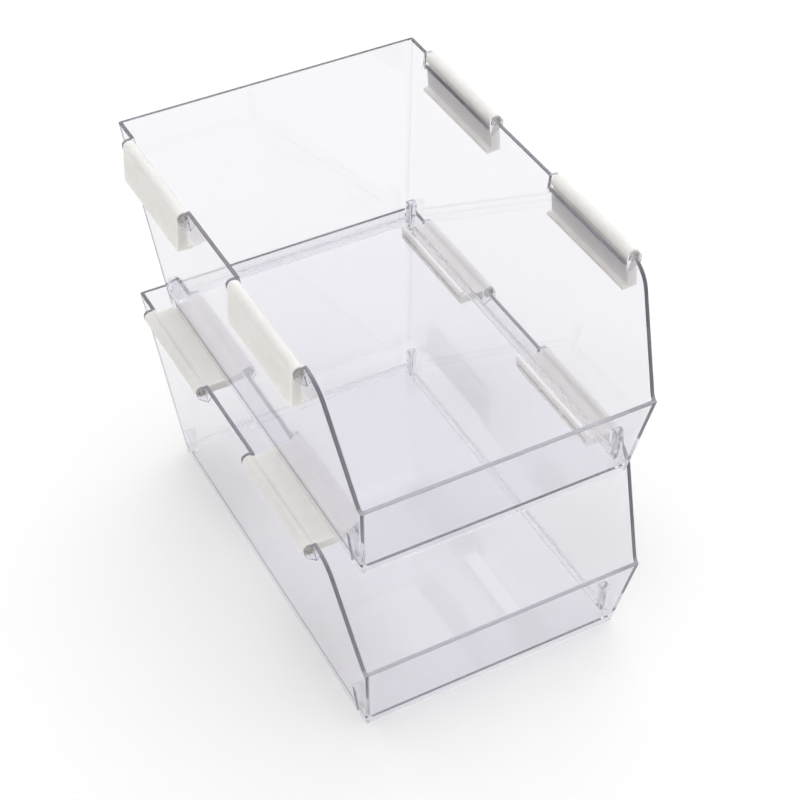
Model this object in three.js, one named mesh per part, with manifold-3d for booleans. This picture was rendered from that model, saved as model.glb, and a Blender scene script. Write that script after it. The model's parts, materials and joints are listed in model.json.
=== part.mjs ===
// A pair of identical stacking fridge bins. Each bin is a clear tapered tray with a low front and
// four white flaps on its side rims. Folded in, the flaps carry a second bin; hung outside, they let
// the bins nest. Millimetres, +Z up, the low front faces -Y, origin under the middle of the stack.

import * as THREE from 'three';
import { mergeVertices } from 'three/addons/utils/BufferGeometryUtils.js';
import Module from 'manifold-3d';

const wasm = await Module();
wasm.setup();

// Bin shell
const HEIGHT = 132; // foot to rim
const RIM_HALF_WIDTH = 100;
const FOOT_HALF_WIDTH = 86;
const RIM_BACK_Y = 150;
const FOOT_BACK_Y = 133;
const FRONT_RIM_Y = -150;
const FOOT_FRONT_Y = -136;
const FRONT_HEIGHT = 61.5; // foot to the rim of the low front wall
const WALL = 2.5;
const CORNER_RADIUS = 1.4;
const INNER_CORNER_RADIUS = 0.6;
const FLOOR_TOP = 8;
const FLOOR_THICKNESS = 2.5;

// Sloping front edge of the side walls
const SLOPE_FOOT_Y = -147;
const SLOPE_HEAD_Y = -117.5;
const SLOPE_FOOT_RADIUS = 5;
const SLOPE_HEAD_RADIUS = 20;

// Rim notches that the flaps lie in, as [front, back]
const NOTCHES = { front: [-103, -21], back: [47, 129] };
const NOTCH_DEPTH = 8.6;
const NOTCH_RADIUS = 1.5;

// Hinge: pins on lugs at both ends of each notch
const HINGE_X = 101.9;
const HINGE_Z = 128;
const PIN_RADIUS = 2.3;
const PIN_LENGTH = 8;
const LUG_RADIUS = 3.4;
const LUG_THICKNESS = 2.4;
const LUG_ROOT_X = 98.3;
const LUG_FOOT_Z = 119;

// Stops pressed into the side walls near the foot, which keep nested bins from jamming
const STOP_YS = [-126, 122.5];
const STOP_HALF_WIDTH = 3.6;
const STOP_TOP = 27;
const STOP_INNER_X = 80.6;
const STOP_SKIN = 1.7;

// Flap, drawn folded in: its hinge axis is at 0, 0 and it reaches inwards along +X
const FLAP_END_GAP = 0.6;
const BARREL_RADIUS = 4;
const BORE_RADIUS = 2.6;
const FLAP_REACH = 22.4;
const SEAT_Z = 2.4; // top face, which the next bin's foot stands on
const LIP_THICKNESS = 2.4;
const LIP_HEIGHT = 3.4; // above the seat, inside the next bin's foot
const FLAP_SKIN = 1.7;
const POCKET_START = 5.2;
const POCKETS = 3;
const HANG_DEGREES = 266; // swing from folded in to hanging outside, foot against the wall

const CONTACT_GAP = 0.3;
const STACK_PITCH = HINGE_Z + SEAT_Z + CONTACT_GAP;

const CURVE_SEGMENTS = 4;
const ROUND_SHARE = 0.98; // of a half width, so that a short straight stays between two arcs
const BEYOND = 8; // how far a cutting solid runs past what it cuts
const HALF_SPAN = 120; // clears both side walls
const MERGE_TOLERANCE = 1e-5;

// Solids

function toSolid(geometry) {
  const bare = geometry.clone();
  bare.deleteAttribute('normal');
  bare.deleteAttribute('uv');
  const merged = mergeVertices(bare, MERGE_TOLERANCE);
  const vertProperties = new Float32Array(merged.attributes.position.array);
  const triVerts = new Uint32Array(merged.index.array);
  return new wasm.Manifold(new wasm.Mesh({ numProp: 3, vertProperties, triVerts }));
}

function toGeometry(solid) {
  const mesh = solid.getMesh();
  const geometry = new THREE.BufferGeometry();
  geometry.setAttribute('position', new THREE.Float32BufferAttribute(mesh.vertProperties, 3));
  geometry.setIndex(Array.from(mesh.triVerts));
  geometry.computeVertexNormals();
  return geometry;
}

function extrude(shape, depth) {
  return new THREE.ExtrudeGeometry(shape, { depth, bevelEnabled: false, curveSegments: CURVE_SEGMENTS });
}

// Extrudes an outline drawn in Y, Z from x0 to x1.
function alongX(outline, x0, x1) {
  const yAxis = new THREE.Vector3(0, 1, 0);
  const zAxis = new THREE.Vector3(0, 0, 1);
  const xAxis = new THREE.Vector3(1, 0, 0);
  const turn = new THREE.Matrix4().makeBasis(yAxis, zAxis, xAxis);
  return toSolid(extrude(outline, x1 - x0).applyMatrix4(turn).translate(x0, 0, 0));
}

// Extrudes an outline drawn in X, Z from y0 to y1.
function alongY(outline, y0, y1) {
  return toSolid(extrude(outline, y1 - y0).rotateX(Math.PI / 2).translate(0, y1, 0));
}

// A closed outline through corners [a, b, radius], each corner rounded by an arc of its radius.
function roundedOutline(corners) {
  const shape = new THREE.Shape();
  corners.forEach(([a, b, radius = 0], i) => {
    const here = new THREE.Vector2(a, b);
    const before = new THREE.Vector2(...corners.at(i - 1).slice(0, 2)).sub(here).normalize();
    const after = new THREE.Vector2(...corners[(i + 1) % corners.length].slice(0, 2)).sub(here).normalize();
    const half = Math.acos(THREE.MathUtils.clamp(before.dot(after), -1, 1)) / 2;
    const run = radius / Math.tan(half);
    const start = here.clone().addScaledVector(before, run);
    if (i === 0) shape.moveTo(start.x, start.y);
    else shape.lineTo(start.x, start.y);
    if (radius === 0) return;
    const end = here.clone().addScaledVector(after, run);
    const towards = before.clone().add(after).normalize();
    const centre = here.clone().addScaledVector(towards, radius / Math.sin(half));
    const from = Math.atan2(start.y - centre.y, start.x - centre.x);
    const to = Math.atan2(end.y - centre.y, end.x - centre.x);
    shape.absarc(centre.x, centre.y, radius, from, to, before.cross(after) > 0);
  });
  shape.closePath();
  return shape;
}

// Bin shell

function between(foot, rim, rimHeight, z) {
  return foot + ((rim - foot) * z) / rimHeight;
}

// The four walls' faces at height z, moved inwards by inset.
function wallsAt(z, inset) {
  return {
    halfWidth: between(FOOT_HALF_WIDTH, RIM_HALF_WIDTH, HEIGHT, z) - inset,
    front: between(FOOT_FRONT_Y, FRONT_RIM_Y, FRONT_HEIGHT, z) + inset,
    back: between(FOOT_BACK_Y, RIM_BACK_Y, HEIGHT, z) - inset,
  };
}

// A solid tapered like the bin, between two heights.
function taperedBlock(z0, z1, inset) {
  const high = wallsAt(z1, inset);
  const low = wallsAt(z0, inset);
  const radius = inset > 0 ? INNER_CORNER_RADIUS : CORNER_RADIUS;
  const outline = roundedOutline([
    [-high.halfWidth, high.front, radius],
    [high.halfWidth, high.front, radius],
    [high.halfWidth, high.back, radius],
    [-high.halfWidth, high.back, radius],
  ]);
  const geometry = extrude(outline, z1 - z0).translate(0, 0, z0);
  const position = geometry.attributes.position;
  for (let i = 0; i < position.count; i += 1) {
    if (position.getZ(i) > (z0 + z1) / 2) continue;
    const x = position.getX(i);
    const y = position.getY(i);
    position.setX(i, x - Math.sign(x) * (high.halfWidth - low.halfWidth));
    position.setY(i, y + (y < 0 ? low.front - high.front : low.back - high.back));
  }
  return toSolid(geometry);
}

// All the space above the rim: over the low front wall, up the slope and along the top.
function aboveRim() {
  const farY = 2 * RIM_BACK_Y;
  const farZ = HEIGHT + 2 * BEYOND;
  const outline = roundedOutline([
    [-farY, FRONT_HEIGHT],
    [SLOPE_FOOT_Y, FRONT_HEIGHT, SLOPE_FOOT_RADIUS],
    [SLOPE_HEAD_Y, HEIGHT, SLOPE_HEAD_RADIUS],
    [farY, HEIGHT],
    [farY, farZ],
    [-farY, farZ],
  ]);
  return alongX(outline, -HALF_SPAN, HALF_SPAN);
}

function notch([front, back]) {
  const top = HEIGHT + BEYOND;
  const bottom = HEIGHT - NOTCH_DEPTH;
  const outline = roundedOutline([
    [front, bottom, NOTCH_RADIUS],
    [back, bottom, NOTCH_RADIUS],
    [back, top],
    [front, top],
  ]);
  return alongX(outline, -HALF_SPAN, HALF_SPAN);
}

// An arch standing on z0, for a stop and for the pocket behind it.
function arch(y, halfWidth, z0, top) {
  const radius = halfWidth * ROUND_SHARE;
  return roundedOutline([
    [y - halfWidth, z0],
    [y + halfWidth, z0],
    [y + halfWidth, top, radius],
    [y - halfWidth, top, radius],
  ]);
}

function joined(solids) {
  return solids.reduce((all, solid) => all.add(solid));
}

function span(a, b) {
  return [Math.min(a, b), Math.max(a, b)];
}

// One lug at a notch end; its pin points along direction, into the notch. Side is -1 left, 1 right.
function lugWithPin(side, notchEnd, direction) {
  const rootX = side * LUG_ROOT_X;
  const tipX = side * (HINGE_X + LUG_RADIUS);
  const radius = LUG_RADIUS * ROUND_SHARE;
  const tab = roundedOutline([
    [rootX, LUG_FOOT_Z],
    [tipX, HINGE_Z - LUG_RADIUS, radius],
    [tipX, HINGE_Z + LUG_RADIUS, radius],
    [rootX, HINGE_Z + LUG_RADIUS],
  ]);
  const pin = new THREE.Shape();
  pin.absarc(side * HINGE_X, HINGE_Z, PIN_RADIUS, 0, 2 * Math.PI);
  const lugFar = notchEnd - direction * LUG_THICKNESS;
  const pinFar = notchEnd + direction * PIN_LENGTH;
  return alongY(tab, ...span(notchEnd, lugFar)).add(alongY(pin, ...span(lugFar, pinFar)));
}

// Everything that stands on one side wall: the lugs with their pins, and the stops.
function sideParts(side, outer) {
  const lugs = Object.values(NOTCHES).flatMap(([front, back]) => [
    lugWithPin(side, front, 1),
    lugWithPin(side, back, -1),
  ]);
  const stops = STOP_YS.map((y) => {
    const outline = arch(y, STOP_HALF_WIDTH, FLOOR_TOP - FLOOR_THICKNESS, STOP_TOP);
    return alongX(outline, ...span(side * STOP_INNER_X, side * RIM_HALF_WIDTH)).intersect(outer);
  });
  return joined([...lugs, ...stops]);
}

function sidePockets(side) {
  return joined(STOP_YS.map((y) => {
    const outline = arch(y, STOP_HALF_WIDTH - STOP_SKIN, -BEYOND, STOP_TOP - STOP_SKIN);
    return alongX(outline, ...span(side * (STOP_INNER_X + STOP_SKIN), side * HALF_SPAN));
  }));
}

function makeBinShell() {
  const outer = taperedBlock(0, HEIGHT + BEYOND, 0);
  const room = taperedBlock(FLOOR_TOP, HEIGHT + 2 * BEYOND, WALL);
  const underFloor = taperedBlock(-BEYOND, FLOOR_TOP - FLOOR_THICKNESS, WALL);
  let shell = outer.subtract(room).subtract(underFloor).subtract(aboveRim());
  for (const ends of Object.values(NOTCHES)) shell = shell.subtract(notch(ends));
  for (const side of [-1, 1]) shell = shell.add(sideParts(side, outer)).subtract(sidePockets(side));
  return toGeometry(shell);
}

// Flap

function flapOutline() {
  const lipTop = SEAT_Z + LIP_HEIGHT;
  const lipBack = FLAP_REACH - LIP_THICKNESS;
  const meetsBarrel = Math.asin(SEAT_Z / BARREL_RADIUS);
  const shape = new THREE.Shape();
  shape.absarc(0, 0, BARREL_RADIUS, meetsBarrel, 1.5 * Math.PI);
  shape.lineTo(FLAP_REACH, -BARREL_RADIUS);
  shape.lineTo(FLAP_REACH, lipTop);
  shape.lineTo(lipBack, lipTop);
  shape.lineTo(lipBack, SEAT_Z);
  shape.closePath();
  const bore = new THREE.Path();
  bore.absarc(0, 0, BORE_RADIUS, 0, 2 * Math.PI);
  shape.holes.push(bore);
  return shape;
}

// Pockets that core the flap out from its free edge, with ribs between them.
function flapPockets(length) {
  const width = (length - FLAP_SKIN) / POCKETS - FLAP_SKIN;
  const outline = roundedOutline([
    [POCKET_START, FLAP_SKIN - BARREL_RADIUS],
    [FLAP_REACH + BEYOND, FLAP_SKIN - BARREL_RADIUS],
    [FLAP_REACH + BEYOND, SEAT_Z - FLAP_SKIN],
    [POCKET_START, SEAT_Z - FLAP_SKIN],
  ]);
  const pockets = [];
  for (let i = 0; i < POCKETS; i += 1) {
    const front = -length / 2 + FLAP_SKIN + i * (width + FLAP_SKIN);
    pockets.push(alongY(outline, front, front + width));
  }
  return joined(pockets);
}

function makeFlap() {
  const [front, back] = NOTCHES.front;
  const length = back - front - 2 * FLAP_END_GAP;
  const body = alongY(flapOutline(), -length / 2, length / 2);
  return toGeometry(body.subtract(flapPockets(length)));
}

// Assembly

const clearPlastic = { color: 0xe4e2ee, roughness: 0.08, metalness: 0, transparent: true, opacity: 0.35 };
const whitePlastic = { color: 0xf1efe8, roughness: 0.45, metalness: 0 };

function makePiece(name, geometry, finish) {
  const mesh = new THREE.Mesh(geometry, new THREE.MeshStandardMaterial(finish));
  mesh.name = name;
  return mesh;
}

function makeBin(prefix, swingDegrees, shellGeometry, flapGeometry) {
  const bin = new THREE.Group();
  bin.add(makePiece(`${prefix}_bin_shell`, shellGeometry, clearPlastic));
  for (const [side, sign] of [['left', -1], ['right', 1]]) {
    for (const [place, [front, back]] of Object.entries(NOTCHES)) {
      const hinge = new THREE.Group();
      hinge.position.set(sign * HINGE_X, (front + back) / 2, HINGE_Z);
      hinge.rotation.z = sign > 0 ? Math.PI : 0;
      const flap = makePiece(`${prefix}_flap_${side}_${place}`, flapGeometry, whitePlastic);
      flap.rotation.y = -THREE.MathUtils.degToRad(swingDegrees);
      hinge.add(flap);
      bin.add(hinge);
    }
  }
  return bin;
}

const shellGeometry = makeBinShell();
const flapGeometry = makeFlap();

const stack = new THREE.Group();
const lowerBin = makeBin('lower', 0, shellGeometry, flapGeometry);
const upperBin = makeBin('upper', HANG_DEGREES, shellGeometry, flapGeometry);
upperBin.position.z = STACK_PITCH;
stack.add(lowerBin, upperBin);

export default stack;
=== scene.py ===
"""A pair of identical clear stacking fridge bins with white hinged flaps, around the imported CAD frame."""

import json
import math

import bmesh
import bpy
from mathutils import Matrix, Vector


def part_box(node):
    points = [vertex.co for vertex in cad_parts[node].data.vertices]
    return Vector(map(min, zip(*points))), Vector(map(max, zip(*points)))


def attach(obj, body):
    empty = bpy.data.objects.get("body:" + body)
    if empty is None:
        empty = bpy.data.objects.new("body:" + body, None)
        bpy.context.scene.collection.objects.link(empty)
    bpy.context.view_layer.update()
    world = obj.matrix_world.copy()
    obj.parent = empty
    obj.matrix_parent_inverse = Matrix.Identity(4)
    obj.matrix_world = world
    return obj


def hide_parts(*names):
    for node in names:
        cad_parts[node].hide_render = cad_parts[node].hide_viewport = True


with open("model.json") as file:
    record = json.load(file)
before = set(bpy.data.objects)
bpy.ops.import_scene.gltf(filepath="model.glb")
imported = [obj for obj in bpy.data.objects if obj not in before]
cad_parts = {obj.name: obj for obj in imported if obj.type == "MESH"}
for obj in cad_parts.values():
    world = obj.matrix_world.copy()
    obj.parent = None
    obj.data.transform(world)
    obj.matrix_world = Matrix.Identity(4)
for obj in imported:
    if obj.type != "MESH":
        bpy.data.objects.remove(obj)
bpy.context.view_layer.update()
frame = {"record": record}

MM = 0.001

# Bin shell, in millimetres, in the bin's own frame: foot at z 0, centred as the CAD shell is
HEIGHT = 132.0
FOOT_HALF_WIDTH, RIM_HALF_WIDTH = 86.0, 100.0
FOOT_BACK_Y, RIM_BACK_Y = 133.0, 150.0
FOOT_FRONT_Y, RIM_FRONT_Y = -136.0, -150.0
FRONT_HEIGHT = 61.5
WALL = 2.5
CORNER_RADIUS = 1.4
INNER_CORNER_RADIUS = 0.6
FLOOR_TOP, FLOOR_UNDER = 8.0, 5.5
FLOOR_FILLET = 1.2
FOOT_ROUND = 0.5
SLOPE_FOOT_Y, SLOPE_HEAD_Y = -147.0, -117.5
SLOPE_FOOT_RADIUS, SLOPE_HEAD_RADIUS = 5.0, 20.0
NOTCHES = {"front": (-103.0, -21.0), "back": (47.0, 129.0)}
NOTCH_DEPTH, NOTCH_RADIUS = 8.6, 1.5
HINGE_X, HINGE_Z = 101.9, 128.0
PIN_RADIUS, PIN_LENGTH = 2.3, 8.0
LUG_RADIUS, LUG_THICKNESS, LUG_ROOT_X, LUG_FOOT_Z = 3.4, 2.4, 98.3, 119.0
STOP_YS = (-126.0, 122.5)
STOP_HALF_WIDTH, STOP_TOP, STOP_INNER_X, STOP_SKIN = 3.6, 27.0, 80.6, 1.7
STOP_LIFT = 0.6  # a stop starts this far above the floor's underside
RIM_ROUND, LUG_ROUND, STOP_ROUND = 0.45, 0.35, 0.7

# Flap, folded in, hinge axis on 0, 0, reaching along +X
FLAP_END_GAP = 0.6
BARREL_RADIUS, BORE_RADIUS = 4.0, 2.6
FLAP_REACH, SEAT_Z, SEAT_FILLET = 22.4, 2.4, 6.0
LIP_THICKNESS, LIP_HEIGHT = 2.4, 3.4
FLAP_SKIN, POCKET_START, POCKETS = 1.7, 5.2, 3
FLAP_ROUND = 0.55  # or as much of it as the thin skins leave room for
HANG_DEGREES = 266.0

# Mesh fineness
ARC_STEPS = 12  # per quarter turn of a moulded round
CORNER_STEPS = 4  # per quarter turn of the walls' tight corners
FOOT_STEPS, FILLET_STEPS = 4, 8  # over the foot's round and the floor's fillet
EDGE_SEGMENTS = 3  # over a softened edge
ROUND_SHARE = 0.98  # of a half width, so that a short straight stays between two arcs
CUT_SLIVERS = 0.17  # merged once the shell is cut, so that its edges round evenly
SLIVERS = 0.002
FLAT_DEGREES, ROUNDED_DEGREES, SHARP_DEGREES = 0.6, 31, 50
FACE_WEIGHT = 90  # of large faces over small ones in the shading
BEYOND = 8.0  # how far a cutting solid runs past what it cuts
HALF_SPAN = 120.0  # clears both side walls

# Which faces count as rims, foot and fillets, by the upright part of their normals and by height
STEEPEST_WALL, FLATTEST_FILLET = 0.3, 0.98  # walls are steeper and floors flatter than a fillet
RIMS_ABOVE, FOOT_BELOW = FRONT_HEIGHT - 5, 1.0
RIM_SATIN, FILLET_SATIN = 1.0, 0.5

# Clear plastic
CLEAR_COLOR = (0.903, 0.900, 0.925, 1)
CLEAR_IOR = 1.5
CLEAR_POLISH = (0.012, 0.06)  # roughness where the mould is bright and where it is dull
EDGE_ROUGHNESS = 0.4  # added where the plastic is fully satin
SHADOW_COLOR = (0.987, 0.985, 0.99, 1)
DEPTH_COLOR, DEPTH_DENSITY = (0.50, 0.475, 0.56, 1), 12.0

# White plastic
WHITE_TONES = ((0.3, (0.855, 0.822, 0.757, 1)), (0.7, (0.915, 0.885, 0.828, 1)))
WHITE_SATIN = (0.36, 0.5)
GLOW_RADIUS, GLOW_SCALE = (1.0, 0.99, 0.95), 0.005

# Studio, in metres, watts and degrees
FLOOR_HALF_WIDTH, FLOOR_DEPTH, FLOOR_GAP = 4.0, 0.02, 0.0002
FLOOR_COLOR, FLOOR_ROUGHNESS = (0.93, 0.93, 0.93, 1), 0.7
AIM = (0, 0, 0.1)
KEY_PLACE, KEY_SIZE, KEY_WATTS = (0.9, 0.9, 1.6), 1.8, 4.0
TOP_PLACE, TOP_SIZE, TOP_WATTS = (-0.3, 0.1, 2.0), 1.0, 5.5
TENT_STRENGTH = 0.93
TENT_TOWARD, TENT_REACH = (0.70, 0.35, 0.62), 0.75
TENT_DIM, TENT_BRIGHT = (0.55, 0.53, 0.51, 1), (1, 1, 1, 1)
CAMERA_PLACE = (-0.3903, -0.7656, 0.8917)
CAMERA_AZIMUTH, CAMERA_ELEVATION, CAMERA_ROLL = -27.6, 42.13, -0.614
CAMERA_LENS, CAMERA_SENSOR = 84.62, 36.0  # millimetres
EXPOSURE = 0.17
BOUNCES, CLEAR_BOUNCES = 64, 32


# Mesh tools


def new_object(name, data):
    piece = bpy.data.objects.new(name, data)
    bpy.context.scene.collection.objects.link(piece)
    return piece


def mesh_from_loops(name, loops):
    """A closed solid through equal loops of points, capped at both ends."""
    bm = bmesh.new()
    rings = [[bm.verts.new(Vector(p) * MM) for p in loop] for loop in loops]
    count = len(rings[0])
    for low, high in zip(rings, rings[1:]):
        for i in range(count):
            j = (i + 1) % count
            bm.faces.new((low[i], low[j], high[j], high[i]))
    bm.faces.new(list(reversed(rings[0])))
    bm.faces.new(rings[-1])
    bmesh.ops.recalc_face_normals(bm, faces=bm.faces)
    mesh = bpy.data.meshes.new(name)
    bm.to_mesh(mesh)
    bm.free()
    return mesh


def rounded(corners, steps=ARC_STEPS):
    """Points of a closed outline through corners (a, b, radius), or (a, b, radius, its own steps)."""
    points = []
    for i, (a, b, radius, *own_steps) in enumerate(corners):
        here = Vector((a, b))
        before = (Vector(corners[i - 1][:2]) - here).normalized()
        after = (Vector(corners[(i + 1) % len(corners)][:2]) - here).normalized()
        if radius == 0:
            points.append(here)
            continue
        half = before.angle(after) / 2
        centre = here + (before + after).normalized() * (radius / math.sin(half))
        start = here + before * (radius / math.tan(half)) - centre
        end = here + after * (radius / math.tan(half)) - centre
        turn = math.atan2(start.x * end.y - start.y * end.x, start.dot(end))
        count = max(2, round((own_steps or [steps])[0] * abs(turn) / (math.pi / 2)))
        for k in range(count + 1):
            t = turn * k / count
            c, s = math.cos(t), math.sin(t)
            points.append(centre + Vector((c * start.x - s * start.y, s * start.x + c * start.y)))
    return points


def along_x(points, x0, x1):
    return mesh_from_loops("along_x", [[(x, p[0], p[1]) for p in points] for x in sorted((x0, x1))])


def along_y(points, y0, y1):
    return mesh_from_loops("along_y", [[(p[0], y, p[1]) for p in points] for y in sorted((y0, y1))])


def circle(a, b, radius, steps=4 * ARC_STEPS):
    turns = [2 * math.pi * k / steps for k in range(steps)]
    return [(a + radius * math.cos(t), b + radius * math.sin(t)) for t in turns]


def combine(body, tools, operation):
    """Applies one exact boolean of every tool mesh to the body object."""
    group = bpy.data.collections.new("tools")
    bpy.context.scene.collection.children.link(group)
    pieces = []
    for mesh in tools:
        piece = bpy.data.objects.new("tool", mesh)
        group.objects.link(piece)
        pieces.append(piece)
    for piece in pieces:
        boolean = body.modifiers.new("combine", "BOOLEAN")
        boolean.operation = operation
        boolean.solver = "EXACT"
        boolean.object = piece
    apply_modifiers(body)
    for piece in pieces:
        mesh = piece.data
        bpy.data.objects.remove(piece)
        bpy.data.meshes.remove(mesh)
    bpy.data.collections.remove(group)


def apply_modifiers(piece):
    graph = bpy.context.evaluated_depsgraph_get()
    graph.update()
    done = bpy.data.meshes.new_from_object(piece.evaluated_get(graph), depsgraph=graph)
    piece.modifiers.clear()
    old = piece.data
    piece.data = done
    bpy.data.meshes.remove(old)


def clean(piece, slivers=SLIVERS):
    """Merges the flat facets and the slivers that a boolean leaves, so that only real edges stay."""
    bm = bmesh.new()
    bm.from_mesh(piece.data)
    bmesh.ops.remove_doubles(bm, verts=bm.verts, dist=slivers * MM)
    bmesh.ops.dissolve_limit(
        bm,
        angle_limit=math.radians(FLAT_DEGREES),
        verts=bm.verts,
        edges=bm.edges,
        use_dissolve_boundaries=False,
    )
    bmesh.ops.recalc_face_normals(bm, faces=bm.faces)
    bm.to_mesh(piece.data)
    bm.free()


def round_edges(piece, width):
    bevel = piece.modifiers.new("round", "BEVEL")
    bevel.width = width * MM
    bevel.segments = EDGE_SEGMENTS
    bevel.limit_method = "ANGLE"
    bevel.angle_limit = math.radians(ROUNDED_DEGREES)
    bevel.use_clamp_overlap = True
    bevel.miter_outer = "MITER_ARC"
    apply_modifiers(piece)


def softened(mesh, width):
    """The mesh of a small solid with its own edges rounded."""
    piece = new_object("small", mesh)
    round_edges(piece, width)
    mesh = piece.data
    bpy.data.objects.remove(piece)
    return mesh


def shade(piece):
    """Smooth shading over the rounds, with the large faces kept flat."""
    piece.data.shade_smooth()
    piece.data.set_sharp_from_angle(angle=math.radians(SHARP_DEGREES))
    weighted = piece.modifiers.new("even", "WEIGHTED_NORMAL")
    weighted.mode = "FACE_AREA"
    weighted.weight = FACE_WEIGHT
    weighted.keep_sharp = True
    apply_modifiers(piece)


# Bin shell


def between(foot, rim, rim_height, z):
    return foot + (rim - foot) * z / rim_height


def wall_loop(z, inset, radius):
    """The bin's rounded outline at one height, moved inwards by inset."""
    half = between(FOOT_HALF_WIDTH, RIM_HALF_WIDTH, HEIGHT, z) - inset
    front = between(FOOT_FRONT_Y, RIM_FRONT_Y, FRONT_HEIGHT, z) + inset
    back = between(FOOT_BACK_Y, RIM_BACK_Y, HEIGHT, z) - inset
    corners = [(-half, front, radius), (half, front, radius), (half, back, radius), (-half, back, radius)]
    return [(p[0], p[1], z) for p in rounded(corners, CORNER_STEPS)]


def outer_solid():
    levels = []
    for k in range(FOOT_STEPS + 1):
        t = math.pi / 2 * k / FOOT_STEPS
        inset = FOOT_ROUND * (1 - math.sin(t))
        levels.append((FOOT_ROUND * (1 - math.cos(t)), inset, CORNER_RADIUS - inset))
    levels.append((HEIGHT + BEYOND, 0.0, CORNER_RADIUS))
    return mesh_from_loops("outer", [wall_loop(*level) for level in levels])


def room_solid():
    levels = []
    for k in range(FILLET_STEPS + 1):
        t = math.pi / 2 * k / FILLET_STEPS
        inset = WALL + FLOOR_FILLET * (1 - math.sin(t))
        levels.append((FLOOR_TOP + FLOOR_FILLET * (1 - math.cos(t)), inset, INNER_CORNER_RADIUS))
    levels.append((HEIGHT + 2 * BEYOND, WALL, INNER_CORNER_RADIUS))
    return mesh_from_loops("room", [wall_loop(*level) for level in levels])


def under_floor_solid():
    levels = (-BEYOND, FLOOR_UNDER)
    return mesh_from_loops("under", [wall_loop(z, WALL, INNER_CORNER_RADIUS) for z in levels])


def above_rim_solid():
    far_y, far_z = 2 * RIM_BACK_Y, HEIGHT + 3 * BEYOND
    corners = [
        (-far_y, FRONT_HEIGHT, 0),
        (SLOPE_FOOT_Y, FRONT_HEIGHT, SLOPE_FOOT_RADIUS, CORNER_STEPS),
        (SLOPE_HEAD_Y, HEIGHT, SLOPE_HEAD_RADIUS),
        (far_y, HEIGHT, 0),
        (far_y, far_z, 0),
        (-far_y, far_z, 0),
    ]
    return along_x(rounded(corners), -HALF_SPAN, HALF_SPAN)


def notch_solid(front, back):
    bottom, top = HEIGHT - NOTCH_DEPTH, HEIGHT + BEYOND
    corners = [(front, bottom, NOTCH_RADIUS), (back, bottom, NOTCH_RADIUS), (back, top, 0), (front, top, 0)]
    return along_x(rounded(corners, CORNER_STEPS), -HALF_SPAN, HALF_SPAN)


def lug_solids(side, notch_end, direction):
    """One lug at a notch end, and its pin, which points along direction into the notch."""
    root, tip = side * LUG_ROOT_X, side * (HINGE_X + LUG_RADIUS)
    radius = LUG_RADIUS * ROUND_SHARE
    tab = rounded(
        [
            (root, LUG_FOOT_Z, 0),
            (tip, HINGE_Z - LUG_RADIUS, radius),
            (tip, HINGE_Z + LUG_RADIUS, radius),
            (root, HINGE_Z + LUG_RADIUS, 0),
        ]
    )
    far = notch_end - direction * LUG_THICKNESS
    pin_root = notch_end - direction * LUG_THICKNESS / 2
    pin_end = notch_end + direction * PIN_LENGTH
    pin = circle(side * HINGE_X, HINGE_Z, PIN_RADIUS, 2 * ARC_STEPS)
    solids = (along_y(tab, notch_end, far), along_y(pin, pin_root, pin_end))
    return [softened(solid, LUG_ROUND) for solid in solids]


def arch(y, half_width, z0, top):
    radius = half_width * ROUND_SHARE
    corners = [
        (y - half_width, z0, 0),
        (y + half_width, z0, 0),
        (y + half_width, top, radius),
        (y - half_width, top, radius),
    ]
    return rounded(corners)


def stop_solid(side, y):
    """A stop's outside: an arch from inside the bin back into the middle of the leaning wall."""
    points = arch(y, STOP_HALF_WIDTH, FLOOR_UNDER + STOP_LIFT, STOP_TOP)
    mid_wall = [between(FOOT_HALF_WIDTH, RIM_HALF_WIDTH, HEIGHT, p[1]) - WALL / 2 for p in points]
    loops = [
        [(side * STOP_INNER_X, p[0], p[1]) for p in points],
        [(side * x, p[0], p[1]) for x, p in zip(mid_wall, points)],
    ]
    return softened(mesh_from_loops("stop", loops), STOP_ROUND)


def stop_pocket(side, y):
    points = arch(y, STOP_HALF_WIDTH - STOP_SKIN, -BEYOND, STOP_TOP - STOP_SKIN)
    return along_x(points, side * (STOP_INNER_X + STOP_SKIN), side * HALF_SPAN)


def bin_mesh():
    shell = new_object("bin_shape", outer_solid())
    combine(shell, [room_solid(), under_floor_solid(), above_rim_solid()], "DIFFERENCE")
    combine(shell, [notch_solid(*ends) for ends in NOTCHES.values()], "DIFFERENCE")
    clean(shell, CUT_SLIVERS)
    round_edges(shell, RIM_ROUND)
    added, pockets = [], []
    for side in (-1, 1):
        for front, back in NOTCHES.values():
            added += lug_solids(side, front, 1) + lug_solids(side, back, -1)
        for y in STOP_YS:
            added.append(stop_solid(side, y))
            pockets.append(stop_pocket(side, y))
    combine(shell, added, "UNION")
    combine(shell, pockets, "DIFFERENCE")
    clean(shell)
    shade(shell)
    mesh = shell.data
    mark_edges(mesh)
    bpy.data.objects.remove(shell)
    return mesh


def mark_edges(mesh):
    """Marks how satin each face is: the rims and the foot's underside fully, the fillets half."""
    edge = mesh.attributes.new("edge", "FLOAT", "FACE")
    for face, value in zip(mesh.polygons, edge.data):
        up, height = face.normal.z, face.center.z / MM
        rim = up > STEEPEST_WALL and height > RIMS_ABOVE
        foot = up < -STEEPEST_WALL and height < FOOT_BELOW
        fillet = STEEPEST_WALL < abs(up) < FLATTEST_FILLET
        value.value = RIM_SATIN if rim or foot else FILLET_SATIN if fillet else 0.0


# Flap


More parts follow.
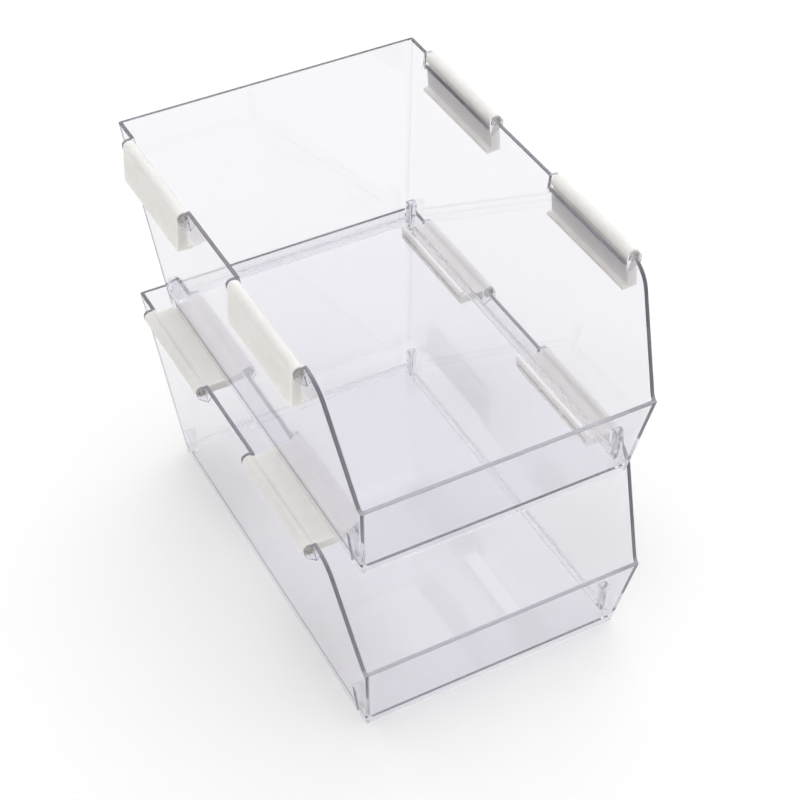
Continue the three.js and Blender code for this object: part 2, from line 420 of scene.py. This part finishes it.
def flap_outline():
    lip_top, lip_back = SEAT_Z + LIP_HEIGHT, FLAP_REACH - LIP_THICKNESS
    reach = BARREL_RADIUS + SEAT_FILLET
    fillet_x = math.sqrt(reach**2 - (SEAT_Z + SEAT_FILLET) ** 2)
    meets = math.atan2(SEAT_Z + SEAT_FILLET, fillet_x)
    steps = 3 * ARC_STEPS
    points = []
    for k in range(ARC_STEPS):
        t = -math.pi / 2 - (math.pi / 2 - meets) * k / ARC_STEPS
        points.append((fillet_x + SEAT_FILLET * math.cos(t), SEAT_Z + SEAT_FILLET * (1 + math.sin(t))))
    for k in range(steps + 1):
        t = meets + (1.5 * math.pi - meets) * k / steps
        points.append((BARREL_RADIUS * math.cos(t), BARREL_RADIUS * math.sin(t)))
    points += [(FLAP_REACH, -BARREL_RADIUS), (FLAP_REACH, lip_top), (lip_back, lip_top), (lip_back, SEAT_Z)]
    return points


def flap_mesh():
    front, back = NOTCHES["front"]
    length = back - front - 2 * FLAP_END_GAP
    flap = new_object("flap_shape", along_y(flap_outline(), -length / 2, length / 2))
    bore = along_y(circle(0, 0, BORE_RADIUS), -length, length)
    width = (length - FLAP_SKIN) / POCKETS - FLAP_SKIN
    low, high = FLAP_SKIN - BARREL_RADIUS, SEAT_Z - FLAP_SKIN
    far = FLAP_REACH + BEYOND
    pocket = [(POCKET_START, low), (far, low), (far, high), (POCKET_START, high)]
    pockets = []
    for i in range(POCKETS):
        start = -length / 2 + FLAP_SKIN + i * (width + FLAP_SKIN)
        pockets.append(along_y(pocket, start, start + width))
    combine(flap, [bore, *pockets], "DIFFERENCE")
    clean(flap)
    round_edges(flap, FLAP_ROUND)
    shade(flap)
    mesh = flap.data
    bpy.data.objects.remove(flap)
    return mesh


# Materials


def nodes_for(name):
    material = bpy.data.materials.new(name)
    material.use_nodes = True
    tree = material.node_tree
    tree.nodes.clear()
    return material, tree


def add(tree, kind, **inputs):
    """A new node, with its inputs set by name (an underscore stands for a space)."""
    node = tree.nodes.new(kind)
    for key, value in inputs.items():
        node.inputs[key.replace("_", " ")].default_value = value
    return node


def add_math(tree, operation):
    node = tree.nodes.new("ShaderNodeMath")
    node.operation = operation
    return node


def clear_plastic():
    material, tree = nodes_for("clear_plastic")
    link = tree.links.new
    out = add(tree, "ShaderNodeOutputMaterial")
    glass = add(tree, "ShaderNodeBsdfPrincipled", Base_Color=CLEAR_COLOR, IOR=CLEAR_IOR)
    glass.inputs["Transmission Weight"].default_value = 1.0
    place = add(tree, "ShaderNodeTexCoord")
    # polish that varies a little, as on a mould
    cloud = add(tree, "ShaderNodeTexNoise", Scale=38.0, Detail=3.0, Roughness=0.55)
    bright, dull = CLEAR_POLISH
    polish = add(tree, "ShaderNodeMapRange", From_Min=0.35, From_Max=0.75, To_Min=bright, To_Max=dull)
    link(place.outputs["Object"], cloud.inputs["Vector"])
    link(cloud.outputs["Fac"], polish.inputs["Value"])
    edge = tree.nodes.new("ShaderNodeAttribute")
    edge.attribute_name = "edge"
    matte = add_math(tree, "MULTIPLY_ADD")
    matte.inputs[1].default_value = EDGE_ROUGHNESS
    link(edge.outputs["Fac"], matte.inputs[0])
    link(polish.outputs["Result"], matte.inputs[2])
    link(matte.outputs["Value"], glass.inputs["Roughness"])
    # slow waves of the moulded sheet, level on the satin edges
    wave = add(tree, "ShaderNodeTexNoise", Scale=14.0, Detail=0.0, Roughness=0.4)
    bump = add(tree, "ShaderNodeBump", Strength=0.05, Distance=0.0004)
    flat = add_math(tree, "SUBTRACT")
    flat.inputs[0].default_value = 1.0
    level = add_math(tree, "MULTIPLY")
    link(place.outputs["Object"], wave.inputs["Vector"])
    link(edge.outputs["Fac"], flat.inputs[1])
    link(wave.outputs["Fac"], level.inputs[0])
    link(flat.outputs["Value"], level.inputs[1])
    link(level.outputs["Value"], bump.inputs["Height"])
    link(bump.outputs["Normal"], glass.inputs["Normal"])
    # lamps reach what is behind the clear walls
    rays = add(tree, "ShaderNodeLightPath")
    through = add(tree, "ShaderNodeBsdfTransparent", Color=SHADOW_COLOR)
    mix = add(tree, "ShaderNodeMixShader")
    link(rays.outputs["Is Shadow Ray"], mix.inputs[0])
    link(glass.outputs["BSDF"], mix.inputs[1])
    link(through.outputs["BSDF"], mix.inputs[2])
    link(mix.outputs["Shader"], out.inputs["Surface"])
    tint = add(tree, "ShaderNodeVolumeAbsorption", Color=DEPTH_COLOR, Density=DEPTH_DENSITY)
    link(tint.outputs["Volume"], out.inputs["Volume"])
    return material


def white_plastic():
    material, tree = nodes_for("white_plastic")
    link = tree.links.new
    out = add(tree, "ShaderNodeOutputMaterial")
    skin = add(tree, "ShaderNodeBsdfPrincipled", Subsurface_Weight=1.0)
    skin.inputs["Subsurface Radius"].default_value = GLOW_RADIUS
    skin.inputs["Subsurface Scale"].default_value = GLOW_SCALE
    place = add(tree, "ShaderNodeTexCoord")
    # a faint cloud in the colour
    cloud = add(tree, "ShaderNodeTexNoise", Scale=90.0, Detail=4.0, Roughness=0.6)
    tone = add(tree, "ShaderNodeValToRGB")
    for stop, (position, color) in zip(tone.color_ramp.elements, WHITE_TONES):
        stop.position = position
        stop.color = color
    link(place.outputs["Object"], cloud.inputs["Vector"])
    link(cloud.outputs["Fac"], tone.inputs["Fac"])
    link(tone.outputs["Color"], skin.inputs["Base Color"])
    # the mould's fine grain
    grain = add(tree, "ShaderNodeTexNoise", Scale=900.0, Detail=3.0, Roughness=0.6)
    smooth, rough = WHITE_SATIN
    satin = add(tree, "ShaderNodeMapRange", To_Min=smooth, To_Max=rough)
    bump = add(tree, "ShaderNodeBump", Strength=0.25, Distance=0.00012)
    link(place.outputs["Object"], grain.inputs["Vector"])
    link(grain.outputs["Fac"], satin.inputs["Value"])
    link(satin.outputs["Result"], skin.inputs["Roughness"])
    link(grain.outputs["Fac"], bump.inputs["Height"])
    link(bump.outputs["Normal"], skin.inputs["Normal"])
    link(skin.outputs["BSDF"], out.inputs["Surface"])
    return material


def pale_floor():
    material, tree = nodes_for("pale_floor")
    out = add(tree, "ShaderNodeOutputMaterial")
    skin = add(tree, "ShaderNodeBsdfPrincipled", Base_Color=FLOOR_COLOR, Roughness=FLOOR_ROUGHNESS)
    tree.links.new(skin.outputs["BSDF"], out.inputs["Surface"])
    return material


# Pieces

CLEAR, WHITE = clear_plastic(), white_plastic()
BODIES = frame["record"]["behaviour"]["bodies"]
BODY_OF_NODE = {node: body for body, nodes in BODIES.items() for node in nodes}


def put(name, mesh, place, node, material):
    """A copy of a mesh at its place, standing for a CAD node and riding on that node's body."""
    piece = new_object(name, mesh.copy())
    piece.data.transform(place)
    piece.data.materials.clear()
    piece.data.materials.append(material)
    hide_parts(node)
    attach(piece, BODY_OF_NODE[node])


def put_bin(bin_name, swing_degrees, shell_shape, flap_shape):
    """One bin with its four flaps swung out by so many degrees from folded in."""
    node = f"{bin_name}_bin_shell"
    low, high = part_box(node)
    foot = Matrix.Translation(((low.x + high.x) / 2, 0, low.z))
    put(f"{bin_name}_bin", shell_shape, foot, node, CLEAR)
    swing = Matrix.Rotation(-math.radians(swing_degrees), 4, "Y")
    for side_name, side in (("left", -1), ("right", 1)):
        turn = Matrix.Rotation(math.pi if side > 0 else 0.0, 4, "Z")
        for place_name in NOTCHES:
            node = f"{bin_name}_flap_{side_name}_{place_name}"
            flap_low, flap_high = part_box(node)
            hinge = Vector((side * HINGE_X * MM, (flap_low.y + flap_high.y) / 2, low.z + HINGE_Z * MM))
            place = Matrix.Translation(hinge) @ turn @ swing
            name = f"{bin_name}_{side_name}_{place_name}_flap"
            put(name, flap_shape, place, node, WHITE)


def put_stack():
    shell_shape, flap_shape = bin_mesh(), flap_mesh()
    put_bin("lower", 0.0, shell_shape, flap_shape)
    put_bin("upper", HANG_DEGREES, shell_shape, flap_shape)


put_stack()


# Studio


def make_floor():
    half = FLOOR_HALF_WIDTH / MM
    square = [(-half, -half), (half, -half), (half, half), (-half, half)]
    mesh = mesh_from_loops("floor", [[(x, y, -z / MM) for x, y in square] for z in (FLOOR_DEPTH, FLOOR_GAP)])
    floor = new_object("studio_floor", mesh)
    floor.data.materials.append(pale_floor())


def area_light(name, position, size, watts):
    data = bpy.data.lights.new(name, "AREA")
    data.shape = "DISK"
    data.size = size
    data.energy = watts
    lamp = new_object(name, data)
    lamp.location = position
    lamp.rotation_mode = "QUATERNION"
    lamp.rotation_quaternion = (Vector(AIM) - Vector(position)).to_track_quat("-Z", "Y")


def make_world():
    """A bright tent, brightest at the upper right and back, a little warm and dim at the lower left."""
    world = bpy.data.worlds.new("studio")
    world.use_nodes = True
    tree = world.node_tree
    background = tree.nodes["Background"]
    place = add(tree, "ShaderNodeTexCoord")
    toward = tree.nodes.new("ShaderNodeVectorMath")
    toward.operation = "DOT_PRODUCT"
    toward.inputs[1].default_value = TENT_TOWARD
    tree.links.new(place.outputs["Generated"], toward.inputs[0])
    tent = add(tree, "ShaderNodeMapRange", From_Min=-TENT_REACH, From_Max=TENT_REACH)
    tree.links.new(toward.outputs["Value"], tent.inputs["Value"])
    side = add(tree, "ShaderNodeValToRGB")
    side.color_ramp.elements[0].color = TENT_DIM
    side.color_ramp.elements[1].color = TENT_BRIGHT
    tree.links.new(tent.outputs["Result"], side.inputs["Fac"])
    tree.links.new(side.outputs["Color"], background.inputs["Color"])
    background.inputs["Strength"].default_value = TENT_STRENGTH
    bpy.context.scene.world = world


def make_camera():
    data = bpy.data.cameras.new("camera")
    data.sensor_width = CAMERA_SENSOR
    data.lens = CAMERA_LENS
    camera = new_object("camera", data)
    azimuth, elevation = math.radians(CAMERA_AZIMUTH), math.radians(CAMERA_ELEVATION)
    level = math.cos(elevation)
    back = Vector((math.sin(azimuth) * level, -math.cos(azimuth) * level, math.sin(elevation)))
    look = (-back).to_track_quat("-Z", "Y")
    roll = Matrix.Rotation(math.radians(CAMERA_ROLL), 4, "Z").to_quaternion()
    camera.location = CAMERA_PLACE
    camera.rotation_mode = "QUATERNION"
    camera.rotation_quaternion = look @ roll
    bpy.context.scene.camera = camera


def set_exposure_and_bounces():
    """Light crosses many clear walls, so a ray may bounce far more often than usual."""
    scene = bpy.context.scene
    scene.view_settings.view_transform = "Standard"
    scene.view_settings.exposure = EXPOSURE
    scene.cycles.max_bounces = BOUNCES
    scene.cycles.transmission_bounces = BOUNCES
    scene.cycles.glossy_bounces = BOUNCES
    scene.cycles.transparent_max_bounces = CLEAR_BOUNCES


make_floor()
make_world()
area_light("key", KEY_PLACE, KEY_SIZE, KEY_WATTS)
area_light("top", TOP_PLACE, TOP_SIZE, TOP_WATTS)
make_camera()
set_exposure_and_bounces()
